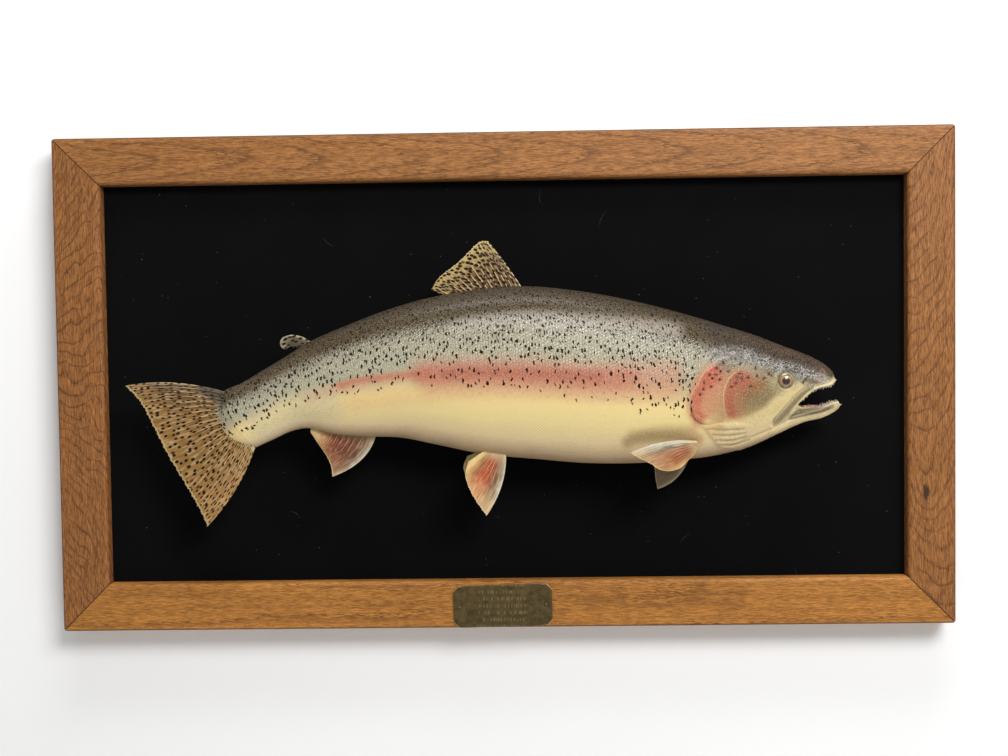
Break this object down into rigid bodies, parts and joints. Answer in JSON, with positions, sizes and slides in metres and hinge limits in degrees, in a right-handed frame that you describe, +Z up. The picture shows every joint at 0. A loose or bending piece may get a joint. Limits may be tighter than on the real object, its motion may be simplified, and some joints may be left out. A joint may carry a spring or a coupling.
{
  "type": "mounted rainbow trout",
  "caption": "Life-size taxidermy rainbow trout with an open mouth and bent tail, held on a black velvet board in a mitred oak frame with a blank brass plate, to hang on a wall.",
  "frame": {"origin": "centre of the batten's back face, in the wall plane, at the middle of the frame", "axes": "+X to the viewer's right, the way the fish faces; +Y back into the wall, square to the wall face; +Z up"},
  "size_m": [0.889, 0.1006, 0.491],
  "materials": {
    "oak": "clear varnish over open-pored oak, satin",
    "velvet": "black velvet glued on a thin panel",
    "plywood": "bare plywood",
    "brass": "dark antique brass with worn bright edges",
    "steel": "zinc-plated steel",
    "body_skin": "scaled trout skin under clear lacquer, glossy",
    "head_skin": "smooth trout skin under clear lacquer, glossy",
    "jaw_skin": "smooth pale trout skin under clear lacquer",
    "fin_skin": "rayed fin under clear lacquer",
    "eye": "taxidermy glass eye, brown iris and dark pupil",
    "mouth": "moist-looking mouth lining"
  },
  "bodies": {
    "root": {"rail_top": "oak", "rail_right": "oak", "rail_bottom": "oak", "rail_left": "oak", "name_plate": "brass", "plate_pin_left": "brass", "plate_pin_right": "brass", "velvet_panel": "velvet", "backing_board": "plywood", "back_batten": "plywood", "fish_screw_1": "steel", "fish_screw_2": "steel", "hanger_left": "steel", "hanger_right": "steel", "hanger_screw_1": "steel", "hanger_screw_2": "steel", "hanger_screw_3": "steel", "hanger_screw_4": "steel", "head": "head_skin", "lower_jaw": "jaw_skin", "tongue": "mouth", "trunk_front": "body_skin", "trunk_rear": "body_skin", "tail_stalk": "body_skin", "gill_cover_near": "head_skin", "gill_cover_far": "head_skin", "maxilla_near": "jaw_skin", "maxilla_far": "jaw_skin", "eye_near": "eye", "eye_far": "eye", "dorsal_fin": "fin_skin", "adipose_fin": "fin_skin", "anal_fin": "fin_skin", "caudal_fin": "fin_skin", "pelvic_fin_near": "fin_skin", "pelvic_fin_far": "fin_skin", "pectoral_fin_near": "fin_skin", "pectoral_fin_far": "fin_skin"}
  },
  "joints": []
}
